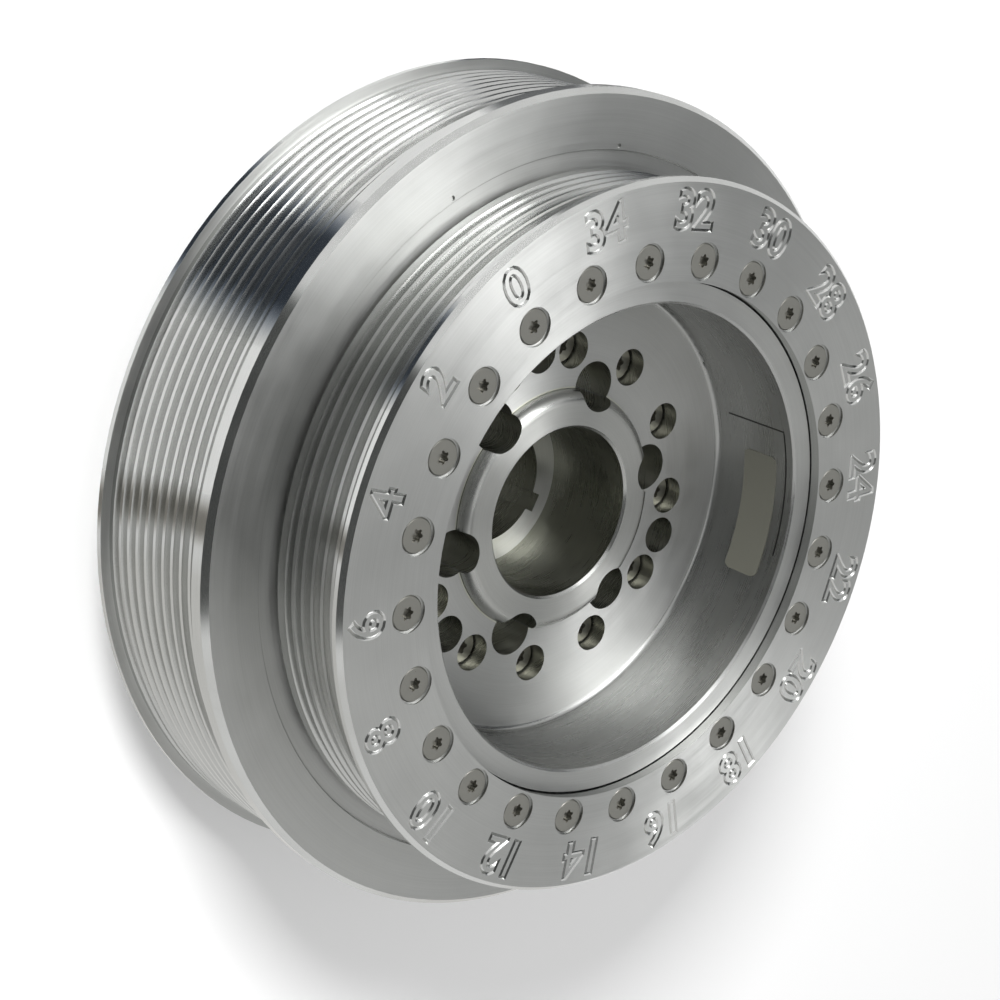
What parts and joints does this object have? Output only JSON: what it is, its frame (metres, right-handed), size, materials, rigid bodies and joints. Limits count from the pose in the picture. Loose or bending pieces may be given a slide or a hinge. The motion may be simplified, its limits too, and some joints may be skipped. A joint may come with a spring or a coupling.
{
  "type": "harmonic balancer",
  "caption": "Stepped crankshaft vibration damper with ribbed belt pulleys, a deep turned bowl, a keyed centre hub and a screwed face ring.",
  "frame": {"origin": "on the crank axis at the rear end of the hub, on which the part stands", "axes": "+Z along the crank axis towards the front face, +X through a face screw"},
  "size_m": [0.2094, 0.2094, 0.0946],
  "materials": {
    "hub": "turned",
    "shell": "fine turned",
    "hub_screws": "plain",
    "front_pulley": "fine turned",
    "rear_pulley": "fine turned",
    "face_screws": "plain",
    "rear_plate": "turned",
    "plate_screws": "plain",
    "rubber": "moulded"
  },
  "bodies": {
    "root": {"crank_hub": "hub", "hub_shell": "shell", "hub_screws": "hub_screws", "front_pulley": "front_pulley", "rear_pulley": "rear_pulley", "face_screws": "face_screws", "rear_plate": "rear_plate", "plate_screws": "plate_screws", "front_inner_ring": "rubber", "front_outer_ring": "rubber", "rear_inner_ring": "rubber", "rear_outer_ring": "rubber", "rim_ring_front": "rubber", "rim_ring_rear": "rubber"}
  },
  "joints": []
}
